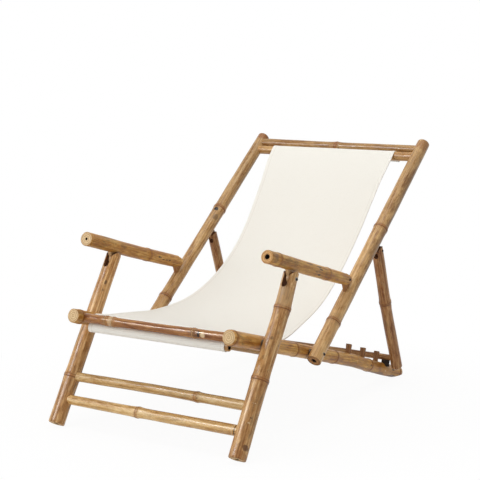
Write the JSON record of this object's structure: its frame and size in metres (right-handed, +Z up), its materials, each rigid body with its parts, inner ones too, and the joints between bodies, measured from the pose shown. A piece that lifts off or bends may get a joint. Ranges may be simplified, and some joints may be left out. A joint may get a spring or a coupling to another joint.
{
  "type": "bamboo folding recliner",
  "caption": "Folding deck chair of round bamboo with a canvas sling, hinged back frame, swinging front legs, armrests and a rear prop that rests on the seat rails.",
  "frame": {"origin": "on the floor, under the middle of the whole chair as it stands in its reclined position", "axes": "+Z up, -Y towards the front of the seat, +X towards the chair's right side as seen from the front"},
  "size_m": [0.6122, 1.089, 0.7196],
  "materials": {
    "bamboo": "weathered brown bamboo skin with pale streaks, satin",
    "golden_bamboo": "pale golden bamboo skin, satin",
    "stained_bamboo": "reddish brown bamboo skin, glossy",
    "peg_wood": "plain sawn hardwood, matte",
    "canvas": "plain woven off-white cotton canvas",
    "steel": "dull zinc-plated",
    "dark_steel": "blackened, satin"
  },
  "bodies": {
    "seat_frame": {"seat_rail_right": "bamboo", "seat_rail_left": "bamboo", "front_crossbar": "stained_bamboo", "sling_crossbar_front": "bamboo", "sling_rod_front": "bamboo", "peg_right_1": "peg_wood", "peg_right_2": "peg_wood", "peg_right_3": "peg_wood", "peg_left_1": "peg_wood", "peg_left_2": "peg_wood", "peg_left_3": "peg_wood", "leg_spacer_right": "steel", "leg_spacer_left": "steel", "leg_bolt_right": "dark_steel", "leg_bolt_left": "dark_steel", "back_spacer_right": "steel", "back_spacer_left": "steel", "back_bolt_right": "dark_steel", "back_bolt_left": "dark_steel", "sling_seat": "canvas"},
    "front_legs": {"front_leg_right": "bamboo", "front_leg_left": "bamboo", "upper_stretcher": "golden_bamboo", "lower_stretcher": "golden_bamboo", "arm_front_bolt_right": "dark_steel", "arm_front_bolt_left": "dark_steel"},
    "back_frame": {"back_rail_right": "bamboo", "back_rail_left": "bamboo", "top_crossbar": "bamboo", "sling_crossbar_top": "bamboo", "sling_rod_top": "bamboo", "arm_ear_right": "peg_wood", "arm_ear_left": "peg_wood", "prop_ear_right": "peg_wood", "prop_ear_left": "peg_wood", "arm_rear_bolt_right": "dark_steel", "arm_rear_bolt_left": "dark_steel", "prop_bolt_right": "dark_steel", "prop_bolt_left": "dark_steel", "sling_back": "canvas"},
    "arm_right": {"armrest_right": "bamboo", "arm_tongue_right": "peg_wood"},
    "arm_left": {"armrest_left": "bamboo", "arm_tongue_left": "peg_wood"},
    "prop_frame": {"prop_leg_right": "bamboo", "prop_leg_left": "bamboo", "prop_bar": "bamboo"}
  },
  "joints": [
    {"name": "back_fold", "type": "hinge", "parent": "seat_frame", "child": "back_frame", "pos_m": [0, -0.12532, 0.1891], "axis": [-1, 0, 0], "range_deg": [0, 47]},
    {"name": "leg_fold", "type": "hinge", "parent": "seat_frame", "child": "front_legs", "pos_m": [0, -0.37173, 0.26209], "axis": [-1, 0, 0], "range_deg": [0, 57]},
    {"name": "arm_right_fold", "type": "hinge", "parent": "back_frame", "child": "arm_right", "pos_m": [0.282, 0.02541, 0.36638], "axis": [-1, 0, 0], "range_deg": [-43.5, 0]},
    {"name": "arm_left_fold", "type": "hinge", "parent": "back_frame", "child": "arm_left", "pos_m": [-0.282, 0.02541, 0.36638], "axis": [-1, 0, 0], "range_deg": [-43.5, 0]},
    {"name": "prop_fold", "type": "hinge", "parent": "back_frame", "child": "prop_frame", "pos_m": [0, 0.22764, 0.41883], "axis": [-1, 0, 0], "range_deg": [-104, 0]}
  ],
  "couplings": [
    {"joint": "leg_fold", "follows": "back_fold", "ratio": 1.195},
    {"joint": "arm_right_fold", "follows": "back_fold", "ratio": -0.911},
    {"joint": "arm_left_fold", "follows": "back_fold", "ratio": -0.911},
    {"joint": "prop_fold", "follows": "back_fold", "ratio": -2.2}
  ]
}
